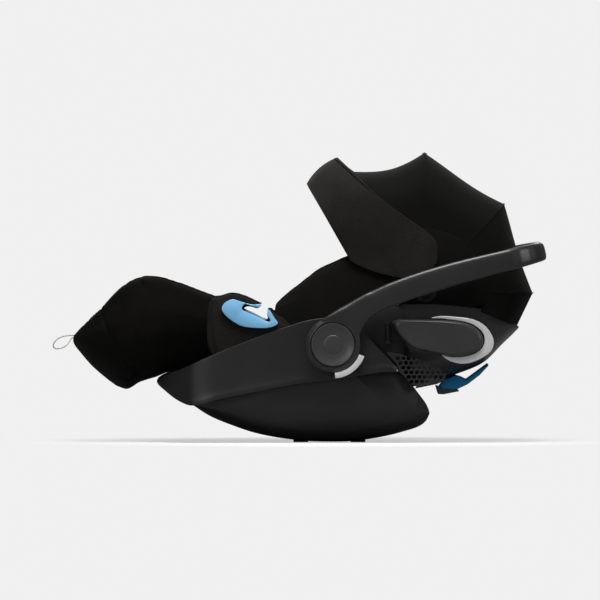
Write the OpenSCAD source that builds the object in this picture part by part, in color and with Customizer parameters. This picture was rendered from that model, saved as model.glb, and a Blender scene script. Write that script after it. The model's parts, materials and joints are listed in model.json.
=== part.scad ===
// Infant car seat lying flat: rocker base, reclining backrest, leg rest, sun canopy
// and swinging carrying handle. +X is the head end, +Y the left side, +Z up.
// The origin is on the floor, under the axis of the handle's hubs.

/* [Base] */
// Height of the hub axis over the floor
hub_h = 172; // [160:1:190]
// Half of the base shell's width at the hubs
base_half_w = 186; // [184:1:200]
// Wall of the base shell
base_wall = 4; // [3:0.5:5]
// Wall of the rocker shell
rocker_wall = 4; // [3:0.5:5]
// How far the rocker stands in from the base shell's side
rocker_inset = 12; // [8:1:20]
// Height of the raised lip along the base shell's lower edge
lip_h = 5; // [3:1:8]
// Length of each rocker pad
pad_l = 26; // [16:1:30]
// Width of each rocker pad
pad_w = 70; // [40:1:90]

/* [Hub and handle] */
// Radius of the handle's hub ring
hub_r = 48; // [46:1:50]
// Thickness of the hub flange on the base shell
flange_t = 10; // [8:1:14]
// Thickness of the handle's hub ring
hub_t = 18; // [16:1:22]
// Depth of the recess behind the hub button
recess_d = 10; // [8:0.5:11]
// Radius of the hub button
button_r = 38; // [34:1:42]
// Radius of the raised cap on the hub button
cap_r = 17; // [12:1:24]
// Travel of the hub button
button_travel = 3; // [2:0.5:3.5]
// Radius of the handle's stub pins
pin_r = 9; // [7:0.5:12]
// Distance from the hub axis to the outside of the grip
handle_reach = 406; // [404:1:420]
// Thickness of the handle's arms, across the seat
arm_t = 15; // [12:1:18]
// Thickness of the grip, along the seat
grip_t = 16; // [14:1:18]
// Height of the grip
grip_h = 33; // [28:1:36]
// Radius of the handle's bends, in plan
bend_r = 70; // [50:1:80]
// Width of the silver release lever
lever_w = 9.5; // [6:0.5:10]

/* [Backrest] */
// Room between the base shell's side and the backrest shell's
back_gap = 26; // [25:0.5:30]
// Wall of the backrest shell
back_wall = 3; // [2:0.5:4]
// Thickness of the recline arms
recline_arm_t = 5; // [4:0.5:6]
// Thickness of the side wings
wing_t = 12; // [8:1:14]
// Thickness of the vent panels
vent_t = 2.5; // [2:0.5:4]
// Width of the rear belt guide
rear_guide_w = 150; // [110:5:180]
// Thickness of a side-impact pod
pod_t = 20; // [14:1:22]
// Thickness of the pods' silver trim
trim_t = 7; // [5:0.5:9]

/* [Canopy] */
// Width of a rib, seen from the side
rib_w = 8; // [6:0.5:9]
// Thickness of a rib
rib_t = 3; // [2.5:0.5:3]
// Length of the front rib, from its pivot
rib_1_r = 239; // [225:1:240]
// Room between the middle rib's tip and the handle's grip as it swings past
canopy_gap = 7; // [6:1:17]
// How much shorter the rear rib is than the middle one
rib_3_less = 11; // [5:1:20]
// Depth of the hollows in the cloth between two ribs
sag = 25; // [10:1:32]
// Radius of the side gussets
gusset_r = 107; // [95:1:112]
// Radius of the canopy's pivot pins
pivot_r = 6; // [4:0.5:8]

/* [Leg rest and seat] */
// How much narrower the leg rest is than the base shell, on each side
leg_gap = 28; // [24:1:40]
// Thickness of the leg rest's padded wall
leg_wall = 10; // [8:1:14]
// Thickness of the side covers
side_cover_t = 13; // [10:0.5:14]
// Thickness of the lap belt guides
lap_guide_t = 10; // [8:1:12]
// How much narrower the seat cushion is than the base shell, on each side
cushion_gap = 48; // [46:1:76]
// Thickness of the seat cushion
cushion_t = 34; // [24:1:40]

/* [Harness] */
// Width of the webbing
web_w = 25; // [20:1:30]
// Thickness of the webbing
web_t = 2; // [1.5:0.5:2.5]
// Length of the buckle
buckle_l = 62; // [50:1:70]
// Width of the buckle
buckle_w = 46; // [40:1:56]

/* [Hidden] */

$fn = 64;
eps = 0.3;        // gap that keeps touching curved faces apart
run = 0.05;       // running clearance of a pin in its bore
plastic = "#262626";
cloth = "#151412";
charcoal = "#232220";
silver = "#c9c9c9";
light_blue = "#6fa9d2";
deep_blue = "#13608f";

// Layers across the seat, each worked out from its neighbour, from the outside in.
back_half_w = base_half_w - back_gap;
leg_half_w = base_half_w - leg_gap;
cushion_half_w = base_half_w - cushion_gap;
base_in = base_half_w - base_wall;
cover_in = base_in - eps - side_cover_t;
ring_y = base_half_w + flange_t + 1;
arm_in = back_half_w + eps;
arm_out = arm_in + recline_arm_t;
shell_in = back_half_w - back_wall;
wing_out = back_half_w;
pivot = [161, 95];
rib_angles = [90, 47, -2];                // front, middle and rear rib, about the pivot
swing_in = handle_reach - grip_t - canopy_gap;
pivot_out = pivot * [cos(rib_angles[1]), sin(rib_angles[1])];
rib_2_r = sqrt(pow(swing_in, 2) - pivot * pivot + pow(pivot_out, 2)) - pivot_out;
rib_3_r = rib_2_r - rib_3_less;
layer_2 = shell_in + 0.2;                 // middle rib
layer_1 = layer_2 + rib_t + 0.6;          // front rib
layer_g = layer_1 + rib_t + 0.6;          // gusset
gusset_t = 2;
lip_out = 2;                              // how far the base shell's lip stands out
layer_v = layer_g + gusset_t + 0.6;       // visor
bracket_t = 6;
liner_floor = -38;                        // the backrest lining's flat inner floor

// Outlines in side view, as [distance along X, height over the hub axis].
base_top = [[-308, -62], [-300, -56], [-270, -45], [-220, -22], [-169, -1], [-119, 18],
  [-69, 36], [-30, 46], [0, 48], [30, 42], [51, 25], [73, 0], [92, -19], [112, -40]];
base_low = [[-308, -70], [-287, -84], [-253, -101], [-245, -102], [-169, -90], [-106, -77],
  [-33, -65], [1, -62], [38, -56], [65, -51], [98, -47], [112, -49]];
rocker_tail = [[112, -49], [124, -57], [143, -79], [155, -94], [163, -104], [167, -110.5], [169, -118]];
// The rocker's underside, as a height over the floor.
rocker_low = [[-245, 66], [-223, 50], [-186, 35], [-136, 17], [-86, 7.5], [-40, 2.5], [2, 1],
  [44, 4], [98, 13], [129, 21.5], [145, 26.5], [158, 33.5], [165, 41], [169, 51]];
back_top = [[66, 20], [90, 45], [126, 73], [189, 73], [251, 65], [291, 50], [318, 36], [325, 31]];
back_low = [[66, -30], [90, -36], [112, -39], [126, -56], [142, -77], [180, -69], [214, -55],
  [230, -50], [267, -33],
  [295, -3], [313, 14], [325, 27]];
leg_top = [[-453, 17], [-429, 39], [-405, 64], [-381, 91], [-357, 108], [-333, 117],
  [-311, 119], [-290, 116], [-263, 108], [-230, 95], [-190, 80]];
leg_low = [[-453, 8], [-440, -8], [-418, -34], [-397, -52], [-376, -68], [-360, -74],
  [-344, -62], [-330, -57], [-303, -52], [-280, -44], [-190, -44]];
head_xs = [170, 185, 205, 225, 245, 262, 275];

// Height of an outline at x, rounded by a cubic through its points that never overshoots them.
function slope(p, i) = let (a = p[max(i - 1, 0)], b = p[i], c = p[min(i + 1, len(p) - 1)])
  i == 0 || i == len(p) - 1 ? (c.y - a.y) / (c.x - a.x) :
  (b.y - a.y) * (c.y - b.y) <= 0 ? 0 :
  let (s = (b.y - a.y) / (b.x - a.x), t = (c.y - b.y) / (c.x - b.x)) 2 * s * t / (s + t);
function at(p, x, i = 0) = i < len(p) - 2 && x > p[i + 1].x ? at(p, x, i + 1) :
  let (w = p[i + 1].x - p[i].x, f = min(1, max(0, (x - p[i].x) / w)))
  p[i].y * (1 + 2 * f) * pow(1 - f, 2) + p[i + 1].y * (3 - 2 * f) * f * f
  + w * (slope(p, i) * f * pow(1 - f, 2) - slope(p, i + 1) * (1 - f) * f * f);

// A smooth closed outline through a few points.
function loop(p, steps = 4) = let (n = len(p)) [for (i = [0:n - 1], k = [0:steps - 1])
  let (a = p[(i + n - 1) % n], b = p[i], c = p[(i + 1) % n], d = p[(i + 2) % n], f = k / steps)
  b + f * ((c - a) + f * ((2 * a - 5 * b + 4 * c - d) + f * (3 * (b - c) + d - a))) / 2];

// A smooth open line through a few points, at share f of its length in points.
function along(p, f) = let (n = len(p) - 1, s = min(f * n, n - 0.0001), i = floor(s), g = s - i,
    b = p[i], c = p[i + 1], a = i > 0 ? p[i - 1] : 2 * b - c, d = i < n - 1 ? p[i + 2] : 2 * c - b)
  b + g * ((c - a) + g * ((2 * a - 5 * b + 4 * c - d) + g * (3 * (b - c) + d - a))) / 2;

// A closed solid through rings with the same number of points. Its two ends are closed by
// strips between the first half of a ring and the second, which suits U-shaped rings too.
module loft(rings) {
  n = len(rings[0]);
  last = (len(rings) - 1) * n;
  strip = [for (i = [0:n / 2 - 2]) let (a = i, b = i + 1, c = n - 2 - i, d = n - 1 - i)
    each (c == b ? [[a, b, d]] : [[a, b, c], [a, c, d]])];
  polyhedron([for (r = rings) each r], concat(strip,
    [for (j = [0:len(rings) - 2], i = [0:n - 1])
      let (a = j * n + i, b = j * n + (i + 1) % n, c = b + n, d = a + n) each [[a, d, b], [b, d, c]]],
    [for (t = strip) [last + t[2], last + t[1], last + t[0]]]), convexity = 8);
}

// A U-shaped ring at x: outer half-width w, from its rim down to its floor, with a wall.
function u_side(w, top, low, k, steps) = [for (i = [0:steps]) let (a = 180 * i / steps)
  [w * sign(cos(a)) * pow(abs(cos(a)), 2 / k), top - (top - low) * pow(abs(sin(a)), 2 / k)]];
function flip(p) = [for (i = [len(p) - 1:-1:0]) p[i]];
function u_ring(x, w, top, low, wall, k, steps = 14) = [for (q = concat(
    flip(u_side(w, top, low, k, steps)),
    u_side(w - wall, top, min(low + wall, top - 1), k, steps))) [x, q.x, q.y]];
module trough(xs, widths, top, low, wall, k, steps = 14) {
  loft([for (x = xs) u_ring(x, at(widths, x), at(top, x), at(low, x), wall, k, steps)]);
}

// A point of the canopy at an angle about its pivot and a distance from it.
function polar(a, r) = pivot + r * [cos(a), sin(a)];

// An arch from one leg over the crown to the other: its front and rear edges in side view
// run from the leg's foot to the crown's middle, its half-width is w, and its wall is t.
function arch_y(w, u, u0) = w * (u < u0 ? 1 : pow(max(0, 1 - pow((u - u0) / (1 - u0), 3)), 1 / 3));
function arch_ring(front, rear, u, side, w, t, u0, cross) = let (v = max(0, (u - u0) / (1 - u0)),
    f = along(front, u), r = along(rear, u), y = side * arch_y(w, u, u0), yi = y * (w - t) / w)
  [for (i = [0:2 * cross + 1]) let (inner = i > cross, g = inner ? (2 * cross + 1 - i) / cross : i / cross,
      p = f + (r - f) * g, q = pivot - p, d = q / norm(q) * t * min(1, 1.6 * v))
    inner ? [p.x + d.x, yi, p.y + d.y] : [p.x, y, p.y]];
module arch(front, rear, w, t, u0 = 0.55, steps = 14, cross = 1) {
  loft([for (i = [-steps:steps]) let (u = 1 - pow(abs(i) / steps, 1.25))
    arch_ring(front, rear, u, i < 0 ? -1 : 1, w, t, u0, cross)]);
}

module on_hub() {
  translate([0, 0, hub_h]) children();
}
// A flat plate in the XZ plane, from y to y + t, on the left (side 1) or the right (side -1).
module plate(y, t, side = 1) {
  mirror([0, side < 0 ? 1 : 0, 0]) translate([0, y + t, 0]) rotate([90, 0, 0])
    linear_extrude(t) children();
}
// A round bar along Y on the same terms.
module rod(c, r, y, t, side = 1) {
  mirror([0, side < 0 ? 1 : 0, 0]) translate([c.x, y + t, c.y]) rotate([90, 0, 0])
    cylinder(h = t, r = r);
}

// ---- Base ----
base_widths = [[-308, base_half_w - 86], [-292, base_half_w - 58], [-268, base_half_w - 26],
  [-240, base_half_w - 5], [-218, base_half_w],
  [90, base_half_w], [112, base_half_w - 4]];
base_xs = [-308, -300, -288, -270, -253, -245, -220, -195, -169, -140, -106, -69, -33, 1, 20,
  38, 51, 65, 80, 98, 112];
// The base shell's section: straight sides with a lip along the foot, and a flat floor.
function base_ring(x) = let (w = at(base_widths, x), t = at(base_top, x), b = at(base_low, x),
    wi = w - base_wall, bi = min(b + base_wall, t - 1), lip = min(lip_h, (t - b) / 3.5),
    side = [[w + lip_out, b], [w + lip_out, b + 2 * lip], [w, b + 3 * lip], [w, t]],
    inner = [[wi, t], [wi, bi + 0.6 * (t - bi)], [wi, bi + 0.25 * (t - bi)], [wi - 3, bi]])
  [for (q = concat(flip([for (q = side) [-q.x, q.y]]), side, inner,
    flip([for (q = inner) [-q.x, q.y]]))) [x, q.x, q.y]];
module base_shell() {
  color(plastic) on_hub() loft([for (x = base_xs) base_ring(x)]);
}

rocker_xs = concat([for (x = base_xs) if (x >= -245) x], [124, 134, 143, 150, 156, 161, 165, 167.5, 169]);
rocker_half_w = base_half_w - rocker_inset;
rocker_widths = [[-245, rocker_half_w - 44], [-186, rocker_half_w - 14], [-100, rocker_half_w],
  [90, rocker_half_w], [143, rocker_half_w - 14], [169, rocker_half_w - 46]];
function rocker_rim(x) = x <= rocker_tail[0].x ? at(base_low, x) : at(rocker_tail, x);
module rocker_shell() {
  color(plastic) loft([for (x = rocker_xs) u_ring(x, at(rocker_widths, x),
    rocker_rim(x) + hub_h, at(rocker_low, x), rocker_wall, 3.6, 16)]);
}

// Five rubber pads that fill the space between the rocker and the floor, one in the middle.
pads = [[-56, -1], [-56, 1], [0, 0], [44, -1], [44, 1]];
function rocker_under(x) = lookup(x, [for (s = rocker_xs) [s, at(rocker_low, s)]]);
module rocker_pads() {
  color("#1a1a1a") for (p = pads) {
    ends = [p.x - pad_l / 2, p.x + pad_l / 2];
    inside = [for (s = rocker_xs) if (s > ends[0] && s < ends[1]) s];
    plate(p.y * (pad_w / 2 + 14) - pad_w / 2, pad_w) polygon(concat([[ends[1], 0], [ends[0], 0]],
      [for (x = [ends[0], each inside, ends[1]]) [x, rocker_under(x) - 0.02]]));
  }
}

// Disc on the base shell's side that carries the handle, with the handle's stub pin.
flange_r = hub_r - 6;
stub_l = hub_t - recess_d - 0.5 + 1;
module hub_flange(side) {
  color(plastic) on_hub() {
    rod([0, 0], flange_r, base_half_w, flange_t, side);
    rod([0, 0], pin_r, base_half_w + flange_t, stub_l, side);
  }
}

// Bush and stub pin inside the shell that the backrest turns on.
recline_pin_r = 8;
module recline_bushes() {
  color("#3a3a3a") on_hub() for (side = [-1, 1]) {
    rod([0, 0], 26, arm_out + eps, base_in - arm_out - eps, side);
    rod([0, 0], recline_pin_r, arm_in, recline_arm_t + eps, side);
  }
}

liner_top = -48;
liner_half_w = cushion_half_w + 12;
// A side view between two heights over the base shell's floor, at the shell's own stations.
function over_floor(x0, x1, top) = concat(
  [for (x = base_xs) if (x >= x0 && x <= x1) [x, at(base_low, x) + base_wall + run]],
  flip([for (x = base_xs) if (x >= x0 && x <= x1) [x, top]]));
module seat_liner() {
  color("#2e2e2e") on_hub() plate(-liner_half_w, 2 * liner_half_w)
    polygon(over_floor(-140, 38, liner_top));
}
// Rail that the leg rest slides on.
module leg_rail() {
  color("#303030") on_hub() plate(-12, 24) polygon(over_floor(-220, -141, leg_low[len(leg_low) - 1].y - 0.2));
}
module seat_cushion() {
  color(cloth) on_hub() hull() {
    translate([-96, -cushion_half_w, liner_top]) cube([116, 2 * cushion_half_w, cushion_t - 8]);
    translate([-88, 8 - cushion_half_w, liner_top]) cube([100, 2 * cushion_half_w - 16, cushion_t]);
  }
}

side_cover_line = [[-214, 82], [-200, 84], [-188, 89], [-172, 90], [-151, 85], [-125, 73],
  [-106, 64], [-93, 55], [-71, 35], [-60, 10], [-58, -20], [-70, -40], [-120, -48], [-180, -48],
  [-215, -19], [-223, 10], [-224, 39], [-222, 66]];
// The lap belt drops through this notch, which opens upwards.
lap_notch = [[-124, 69], [-130, 64], [-152, 70.5], [-158, 66], [-157.5, 60], [-138, 51], [-122, 43],
  [-112, 40], [-109, 43], [-115, 53], [-112.5, 62], [-109, 80], [-122, 84]];
module side_cover(side) {
  color(charcoal) on_hub() plate(cover_in, side_cover_t, side) difference() {
    polygon(loop(side_cover_line, 3));
    polygon(lap_notch);
  }
}

// Hook that holds the car's lap belt, with its open notch.
lap_guide_line = [[-194, 64], [-190, 72], [-182, 77], [-173, 79], [-154, 73], [-138, 70], [-125, 71],
  [-130, 64.5], [-152, 71], [-158, 66], [-157, 60], [-138, 51], [-122, 43], [-112, 40], [-109, 43],
  [-115, 53], [-112, 62], [-107, 55], [-101, 45], [-96, 38], [-101, 33], [-115, 29], [-143, 30],
  [-163, 34], [-183, 47], [-192, 57]];
lap_guide_y = cover_in + side_cover_t + eps / 2;
module lap_guide(side) {
  color(light_blue) on_hub() plate(lap_guide_y, lap_guide_t, side) polygon(loop(lap_guide_line, 2));
}

// ---- Harness ----
buckle_c = [-74, 12];
module buckle() {
  color("#202020") on_hub() translate([buckle_c.x, 0, buckle_c.y]) rotate([0, 12, 0]) difference() {
    translate([-buckle_l / 2, -buckle_w / 2, -9]) cube([buckle_l, buckle_w, 18]);
    cylinder(h = 20, r = 11);
  }
}
module buckle_button() {
  color("#b3261e") on_hub() translate([buckle_c.x, 0, buckle_c.y]) rotate([0, 12, 0])
    translate([0, 0, 4]) cylinder(h = 6.5, r = 10.8);
}
module crotch_strap() {
  color(cloth) on_hub() plate(-web_w / 2, web_w)
    polygon([[-102, liner_top], [-102, 8.6], [-102 + web_t, 8.2], [-102 + web_t, liner_top]]);
}
module hip_straps() {
  color(cloth) on_hub() for (side = [-1, 1]) hull() {
    translate([-84, side * (buckle_w / 2 + eps + web_t / 2) - web_t / 2, 6]) cube([web_w, web_t, web_t]);
    translate([-40, side * (cushion_half_w - 6) - web_t / 2, liner_top + cushion_t + 2])
      cube([web_w, web_t, web_t]);
  }
}
strap_line = [[-42.7, 8], [60, 0], [120, -24], [head_xs[0] - eps, liner_floor + 1]];
module shoulder_straps() {
  color(cloth) on_hub() for (side = [-1, 1]) plate(6, web_w, side)
    polygon(concat(strap_line, flip([for (p = strap_line) p + [0, web_t]])));
}
housing = [24, 44, 12];
housing_x = -128;
module adjuster_housing() {
  color("#1e1e1e") on_hub() difference() {
    translate([housing_x, -housing.y / 2, liner_top]) cube(housing);
    translate([housing_x + 12, 0, liner_top + 6]) cylinder(h = 10, r = 8);
  }
}
module adjuster_button() {
  color("#8c8c8c") on_hub() translate([housing_x + 12, 0, liner_top + 9]) cylinder(h = 5, r = 7.8);
}
// Screws that hold the rocker to the base shell's lip, from inside.
screw_r = 5;
function base_floor(x) = lookup(x, [for (s = base_xs) [s, at(base_low, s)]]) + base_wall;
module shell_screws() {
  color("#9a9a9a") on_hub() for (x = [-200, -150, 90], side = [-1, 1])
    translate([x, side * (at(base_widths, x) - base_wall - 14),
      max([for (e = [-screw_r, 0, screw_r]) base_floor(x + e)]) + run]) cylinder(h = 3, r = screw_r);
}

// ---- Backrest ----
back_widths = [[66, back_half_w - 6], [90, back_half_w], [265, back_half_w],
  [300, back_half_w - 15], [325, back_half_w - 52]];
back_xs = [66, 78, 90, 108, 126, 140, 158, 176, 195, 214, 230, 250, 267, 282, 295, 305, 313, 320, 325];
module backrest_shell() {
  color(plastic) on_hub() trough(back_xs, back_widths, back_top, back_low, back_wall, 3.4, 14);
}
module recline_arms() {
  color("#303030") on_hub() for (side = [-1, 1]) difference() {
    plate(arm_in, recline_arm_t, side) polygon(concat(
      [for (a = [60:20:280]) 26 * dir(a)], [[84, -28], [124, -34], [124, 54], [108, 61],
      [98, 65], [82, 58], [68, 50], [54, 38]]));
    rod([0, 0], recline_pin_r + run, arm_in - 1, recline_arm_t + 2, side);
  }
}
// Perforated panel low on the shell's side.
vent_line = [[92, -12], [126, -19], [158, -28], [186, -40], [197, -50], [196, -62], [182, -69],
  [143, -77], [134, -67], [124, -55], [113, -47], [110, -34]];
vent_pitch = 9.4;
vent_hole_r = 3.8;
// Whether a vent hole's centre is far enough inside the panel's left, lower and upper edges.
function in_panel(c) = c.x > 118 - 0.62 * (c.y + 43) && c.y > -84 + 0.27 * (c.x - 143) + 11
  && c.y < -17 - 0.33 * (c.x - 126) && c.x < 197;
module vents() {
  color("#1d1d1d") on_hub() for (side = [-1, 1]) plate(arm_out + eps, vent_t, side) difference() {
    polygon(vent_line);
    for (i = [0:12], j = [0:8]) {
      c = [104 + vent_pitch * (i + (j % 2) / 2), -24 - vent_pitch * 0.87 * j];
      if (in_panel(c)) translate(c) circle(r = vent_hole_r, $fn = 6);
    }
  }
}
liner_wall = 8;
liner_gap = 4;
liner_xs = [for (x = back_xs) if (x > 70 && x < 285) x];
function liner_in(x) = max(at(back_low, x) + back_wall + liner_gap + liner_wall, liner_floor);
module backrest_liner() {
  color(cloth) on_hub() loft([for (x = liner_xs) let (w = at(back_widths, x) - back_wall - liner_gap - 1,
      top = at(back_top, x) - 14) [for (q = concat(
        flip(u_side(w, top, at(back_low, x) + back_wall + liner_gap, 3.4, 14)),
        u_side(w - liner_wall, top, liner_in(x), 3.4, 14))) [x, q.x, q.y]]]);
}
// Padded side wing in front of the hub and beside the head.
wing_line = [[-106, 64], [-99, 75], [-82, 91], [-57, 110], [-26, 134], [3, 147], [28, 158],
  [70, 166], [106, 158], [128, 128], [132, 96], [112, 82], [84, 58], [62, 22], [54, -36],
  [0, -38], [-60, -22], [-98, -6], [-107, 30]];
module wing(side) {
  color(cloth) on_hub() plate(wing_out - wing_t, wing_t, side) polygon(loop(wing_line, 3));
}
// Hook under the head end that the car's shoulder belt runs behind.
rear_guide_line = concat([[186, -75], [195, -80], [217, -80], [236, -71], [257, -55], [273, -38],
  [272, -35], [234, -63], [226, -59]], flip([for (x = back_xs) if (x > 190 && x < 222)
  [x, at(back_low, x) - eps]]));
module rear_guide() {
  color(deep_blue) on_hub() plate(-rear_guide_w / 2, rear_guide_w) polygon(rear_guide_line);
}
// Dark block along the rear belt guide's front edge.
module guide_foot() {
  color("#3c3835") on_hub() plate(-rear_guide_w / 2, rear_guide_w)
    polygon([[180, -74], [184, -88], [194, -88.5], [222, -83], [217, -80.2], [195, -80.2], [185.8, -75.1]]);
}

// ---- Canopy ----
bracket_y = shell_in - 0.5 - bracket_t;
module canopy_brackets() {
  color("#262626") on_hub() for (side = [-1, 1]) {
    plate(bracket_y, bracket_t, side) polygon(concat(
      [for (a = [200:-20:-20]) polar(a, 16)], [[206, 61], [122, 66]]));
    rod(pivot, pivot_r, bracket_y, layer_v + visor_t + 3 - bracket_y, side);
    rod(pivot, pivot_r + 5, layer_v + visor_t + 0.4, 2.6, side);
  }
}
function layer_ring(w, a, r_low, r_high, half) = let (d = [cos(a), sin(a)], n = half * [-d.y, d.x])
  [for (e = [n, -n]) [for (s = [r_low, (r_low + r_high) / 2, r_high]) pivot + s * d + e]];
// A bow with an eye at each end, at an angle about the pivot.
module rib(a, length, y, foot, eye = true) {
  edges = layer_ring(y, a, foot, length, rib_w / 2);
  arch(edges[0], edges[1], y + rib_t, rib_t);
  if (eye) for (side = [-1, 1]) difference() {
    plate(y + eye_in, rib_t - 2 * eye_in, side) union() {
      translate(pivot) circle(r = 13);
      translate(pivot) rotate(a) translate([4, eye_in - rib_w / 2]) square([foot, rib_w - 2 * eye_in]);
    }
    rod(pivot, pivot_r + run, y - 1, rib_t + 2, side);
  }
}
rib_foot = 24;
eye_in = 0.4;     // how much slimmer the eyes are than the bow
module canopy_rib_1() {
  color("#1b1b1b") on_hub() rib(rib_angles[0], rib_1_r, layer_1, rib_foot);
}
module canopy_rib_2() {
  color("#1b1b1b") on_hub() rib(rib_angles[1], rib_2_r, layer_2, rib_foot);
}
module canopy_rib_3() {
  color("#1b1b1b") on_hub() rib(rib_angles[2], rib_3_r, layer_1, 60, false);
}
// Cloth between two ribs, hollow between their tips.
function cloth_r(f, ra, rb) = ra + (rb - ra) * f - sag * 4 * f * (1 - f);
cloth_t = 1.6;
function cloth_ring(a, r, w, k = 3, steps = 12) = let (foot = gusset_r - 3) [for (q = concat(
    flip(u_side(w, -foot, -r, k, steps)), u_side(w - cloth_t, -foot, cloth_t - r, k, steps)))
  let (p = polar(a, -q.y)) [p.x, q.x, p.y]];
module cloth_panel(a0, a1, r0, r1, w) {
  color(cloth) on_hub() loft([for (i = [0:8]) let (f = i / 8)
    cloth_ring(a0 + (a1 - a0) * f, cloth_r(0.05 + 0.9 * f, r0, r1), w)]);
}
cloth_w = layer_1 + rib_t;
rib_gap = 3;      // angle kept free on each side of a rib
module cloth_front() {
  cloth_panel(rib_angles[0] + rib_gap, 118, rib_1_r, 242, cloth_w);
}
module cloth_middle() {
  cloth_panel(rib_angles[1] + rib_gap, rib_angles[0] - rib_gap, rib_2_r, rib_1_r, cloth_w);
}
module cloth_rear() {
  cloth_panel(rib_angles[2] + rib_gap, rib_angles[1] - rib_gap, rib_3_r, rib_2_r, cloth_w);
}
module canopy_rear() {
  color(cloth) on_hub() loft([for (a = [-18, -14, -10, -5])
    cloth_ring(a, rib_3_r - 6 - 8 * (-5 - a) / 13, cloth_w)]);
}
// Stiff side panel over the ribs' ends, down to the shell's edge.
module gussets() {
  color(cloth) on_hub() for (side = [-1, 1]) difference() {
    plate(layer_g, gusset_t, side) polygon(concat([for (a = [112:-6:-14]) polar(a, gusset_r)],
      [[250, 67], [220, 60], [160, 58], [124, 62], [104, 74], [102, 110]]));
    rod(pivot, pivot_r + run, layer_g - 1, gusset_t + 2, side);
  }
}
visor_front = [[131, 114], [80, 124], [31, 145], [0, 180], [-18, 228], [-33, 256], [-45, 279]];
visor_rear = [[182, 141], [183, 172], [168, 194], [117, 230], [78, 260], [46, 291], [8, 327]];
visor_t = 3;
module canopy_visor() {
  color(charcoal) on_hub() {
    arch(visor_front, visor_rear, layer_v + visor_t, visor_t, 0.5, 16, 3);
    for (side = [-1, 1]) difference() {
      plate(layer_v, visor_t, side) polygon(concat([for (a = [240:20:420]) polar(a, 22)],
        [[180, 152], [120, 120]]));
      rod(pivot, pivot_r + run, layer_v - 1, visor_t + 2, side);
    }
  }
}

// ---- Side-impact pods ----
pod_line = [[103, 38], [112, 44], [135, 45], [173, 44], [206, 42], [228, 39], [248, 31], [261, 17],
  [262, 0], [249, -13], [229, -19], [207, -20], [172, -14], [140, -6], [122, 8], [109, 24]];
pod_c = [195, 14];
leaf_t = 2;
pod_y = arm_out + eps + leaf_t;
module pod(side) {
  ring = loop(pod_line, 3);
  levels = [[0, 1], [0.45, 1], [0.75, 0.975], [0.92, 0.93], [1, 0.86]];
  color("#2b2b2b") on_hub() mirror([0, side < 0 ? 1 : 0, 0])
    loft([for (v = levels) [for (p = ring) let (q = pod_c + (p - pod_c) * v[1])
      [q.x, pod_y + pod_t * v[0], q.y]]]);
}
// Butt hinges at the pods' front ends: leaf and barrel, with the pin on the shell.
hinge_c = [96, arm_out + 5];
barrel_r = 4.5;
hinge_pin_r = 2;
hinge_z = [6, 34];
module pod_leaf(side) {
  color("#303030") on_hub() mirror([0, side < 0 ? 1 : 0, 0]) difference() {
    union() {
      translate([hinge_c.x, hinge_c.y, hinge_z[0]]) cylinder(h = hinge_z[1] - hinge_z[0], r = barrel_r);
      translate([hinge_c.x, arm_out + eps, hinge_z[0]]) cube([90, leaf_t, hinge_z[1] - hinge_z[0]]);
    }
    translate([hinge_c.x, hinge_c.y, -50]) cylinder(h = 200, r = hinge_pin_r + run);
  }
}
module pod_hinges() {
  color("#303030") on_hub() for (side = [-1, 1]) mirror([0, side < 0 ? 1 : 0, 0]) {
    translate([hinge_c.x, hinge_c.y, hinge_z[0] - 5])
      cylinder(h = hinge_z[1] - hinge_z[0] + 10, r = hinge_pin_r);
    for (z = [hinge_z[0] - 5.5, hinge_z[1] + 0.5]) translate([hinge_c.x - 5, arm_out + 0.05, z])
      cube([10, hinge_c.y - arm_out + 4, 5]);
  }
}
// Silver trim that wraps the pod's head end like a C, widest at the end.
trim_outer = [[172, 47], [189, 50], [220, 48], [245, 44], [264, 34], [276, 19], [281, 3], [275, -13],
  [257, -25], [239, -32], [220, -33], [201, -27], [190, -18]];
trim_inner = [[193, -18.5], [206, -21.5], [230, -21], [250, -14.5], [263.6, -1], [263, 18],
  [249, 32.4], [229, 40.2], [206, 43.4], [189, 45.4], [173, 45.6]];
module pod_trim(side) {
  color(silver) on_hub() plate(pod_y + 3, trim_t, side) polygon(concat(
    [for (i = [0:28]) along(trim_outer, i / 28)], [for (i = [0:24]) along(trim_inner, i / 24)]));
}

// ---- Headrest and levers ----
head_half_w = back_half_w - 32;
head_widths = [[170, head_half_w], [230, head_half_w - 4], [275, head_half_w - 32]];
head_top = [[170, 108], [200, 112], [240, 96], [275, 60]];
head_low = [for (x = head_xs) [x, lookup(x, [for (s = liner_xs) [s, liner_in(s)]]) + eps]];
head_wall = 12;
head_k = 3;
module headrest() {
  color("#191817") on_hub() trough(head_xs, head_widths, head_top, head_low, head_wall, head_k, 10);
}
head_lever_c = [258, 56];
lever_rod_r = 4;
module headrest_lever() {
  drop = at(head_top, head_lever_c.x) - head_lever_c.y + lever_rod_r;
  depth = at(head_top, head_lever_c.x) - at(head_low, head_lever_c.x) - head_wall;
  half = (at(head_widths, head_lever_c.x + lever_rod_r) - head_wall)
    * pow(1 - pow(drop / depth, head_k), 1 / head_k) - 3 * eps;
  color("#8a8a8a") on_hub() {
    rod(head_lever_c, lever_rod_r, -half, 2 * half);
    translate([head_lever_c.x - 14, -26, head_lever_c.y - 2]) cube([14, 52, 4]);
  }
}
recline_lever_c = [303, 27];
recline_lever_w = 72;
module recline_lever() {
  color("#2a2a2a") on_hub() {
    rod(recline_lever_c, 3, -recline_lever_w / 2, recline_lever_w);
    translate([recline_lever_c.x, 6 - recline_lever_w / 2, recline_lever_c.y - 1.5])
      cube([13, recline_lever_w - 12, 3]);
  }
}
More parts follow.
